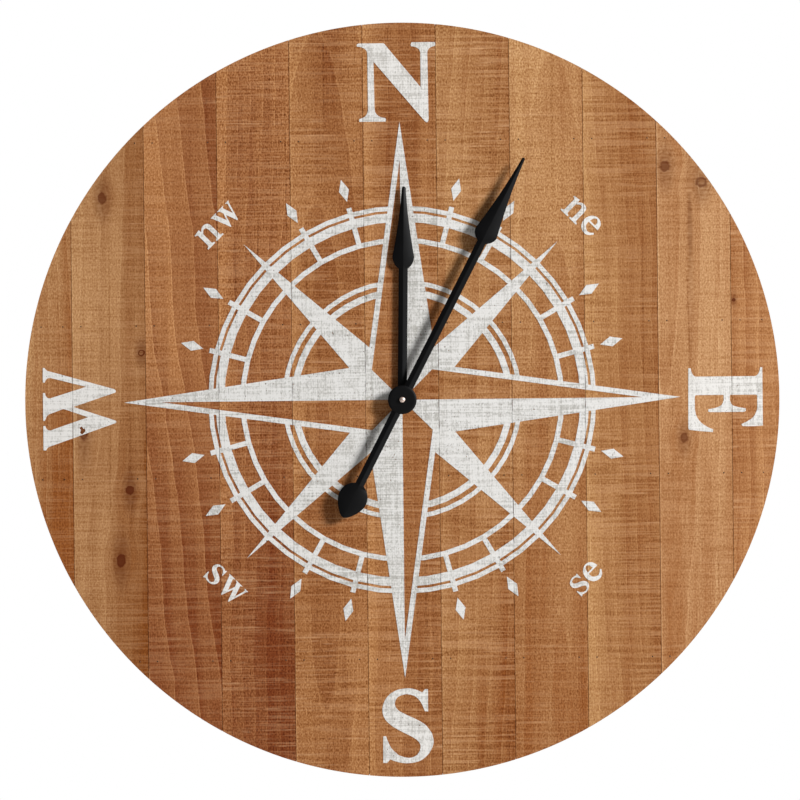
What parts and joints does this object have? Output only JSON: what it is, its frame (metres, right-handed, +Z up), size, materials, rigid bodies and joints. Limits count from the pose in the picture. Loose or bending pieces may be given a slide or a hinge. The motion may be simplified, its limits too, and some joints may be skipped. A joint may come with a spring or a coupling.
{
  "type": "wall clock",
  "caption": "Round wall clock of vertical planks with a painted compass rose, black spade hands, a battery quartz movement and a keyhole hanger.",
  "frame": {"origin": "where the keyhole plate hangs on its wall screw: the centre of the slot's round top, on the wall plane", "axes": "+Z up, +X to the right seen from the front, +Y into the wall; the dial faces -Y"},
  "size_m": [0.8, 0.0486, 0.8],
  "materials": {
    "wood_red": "rough sawn, waxed, red-brown",
    "wood_tan": "rough sawn, waxed, light tan",
    "wood_orange": "rough sawn, waxed, orange-brown",
    "batten_wood": "planed, bare",
    "dial_paint": "worn chalky paint",
    "hand_black": "satin black paint",
    "nut_bright": "plated bright",
    "bush_brass": "turned",
    "zinc_steel": "zinc plated",
    "gasket_rubber": "moulded",
    "case_plastic": "moulded black",
    "wheel_plastic": "moulded white",
    "coil_copper": "enamelled copper wire",
    "board_green": "circuit board",
    "magnet_grey": "sintered",
    "cell_jacket": "plain printed jacket"
  },
  "bodies": {
    "clock_body": {"plank_01": "wood_red", "plank_02": "wood_tan", "plank_03": "wood_orange", "plank_04": "wood_red", "plank_05": "wood_red", "plank_06": "wood_orange", "plank_07": "wood_orange", "plank_08": "wood_tan", "plank_09": "wood_orange", "plank_10": "wood_tan", "plank_11": "wood_red", "batten_top": "batten_wood", "batten_upper": "batten_wood", "batten_lower": "batten_wood", "batten_bottom": "batten_wood", "hanger_plate": "zinc_steel", "hanger_screw_left": "zinc_steel", "hanger_screw_right": "zinc_steel", "compass_rose": "dial_paint", "case_gasket": "gasket_rubber", "threaded_bush": "bush_brass", "dial_washer": "bush_brass", "hexagon_nut": "bush_brass", "movement_case": "case_plastic", "train_bridge": "wheel_plastic", "movement_cover": "case_plastic", "stator": "zinc_steel", "coil_core": "zinc_steel", "coil": "coil_copper", "circuit_board": "board_green", "controller_chip": "case_plastic", "quartz_crystal": "zinc_steel", "contact_positive": "zinc_steel", "contact_negative": "zinc_steel"},
    "minute_hand": {"minute_hand": "hand_black", "hand_nut": "nut_bright", "minute_arbor": "zinc_steel", "clutch_washer": "zinc_steel", "centre_wheel": "wheel_plastic"},
    "hour_hand": {"hour_hand": "hand_black", "hour_wheel": "wheel_plastic"},
    "minute_wheel": {"minute_wheel": "wheel_plastic", "setting_knob": "case_plastic"},
    "third_wheel": {"third_wheel": "wheel_plastic"},
    "fourth_wheel": {"fourth_wheel": "wheel_plastic"},
    "intermediate_wheel": {"intermediate_wheel": "wheel_plastic"},
    "rotor": {"rotor": "magnet_grey"},
    "battery": {"battery": "cell_jacket"}
  },
  "joints": [
    {"name": "minute_hand_turn", "type": "hinge", "parent": "clock_body", "child": "minute_hand", "pos_m": [0, -0.0434, -0.28], "axis": [0, 1, 0], "continuous": true},
    {"name": "hour_hand_turn", "type": "hinge", "parent": "clock_body", "child": "hour_hand", "pos_m": [0, -0.0372, -0.28], "axis": [0, 1, 0], "continuous": true},
    {"name": "minute_wheel_turn", "type": "hinge", "parent": "clock_body", "child": "minute_wheel", "pos_m": [-0.012, -0.0134, -0.28], "axis": [0, 1, 0], "continuous": true},
    {"name": "third_wheel_turn", "type": "hinge", "parent": "clock_body", "child": "third_wheel", "pos_m": [0.01148, -0.011, -0.28], "axis": [0, 1, 0], "continuous": true},
    {"name": "fourth_wheel_turn", "type": "hinge", "parent": "clock_body", "child": "fourth_wheel", "pos_m": [0, -0.0096, -0.28], "axis": [0, 1, 0], "continuous": true},
    {"name": "intermediate_wheel_turn", "type": "hinge", "parent": "clock_body", "child": "intermediate_wheel", "pos_m": [-0.00207, -0.0086, -0.26824], "axis": [0, 1, 0], "continuous": true},
    {"name": "rotor_turn", "type": "hinge", "parent": "clock_body", "child": "rotor", "pos_m": [0.00482, -0.0079, -0.26245], "axis": [0, 1, 0], "continuous": true},
    {"name": "battery_slide", "type": "slide", "parent": "clock_body", "child": "battery", "axis": [0, 1, 0], "range_m": [0, 0.025]}
  ],
  "couplings": [
    {"joint": "hour_hand_turn", "follows": "minute_hand_turn", "ratio": 0.083333},
    {"joint": "minute_wheel_turn", "follows": "minute_hand_turn", "ratio": -0.33333},
    {"joint": "third_wheel_turn", "follows": "minute_hand_turn", "ratio": -8},
    {"joint": "fourth_wheel_turn", "follows": "minute_hand_turn", "ratio": 60},
    {"joint": "intermediate_wheel_turn", "follows": "minute_hand_turn", "ratio": -300},
    {"joint": "rotor_turn", "follows": "minute_hand_turn", "ratio": 1800}
  ]
}
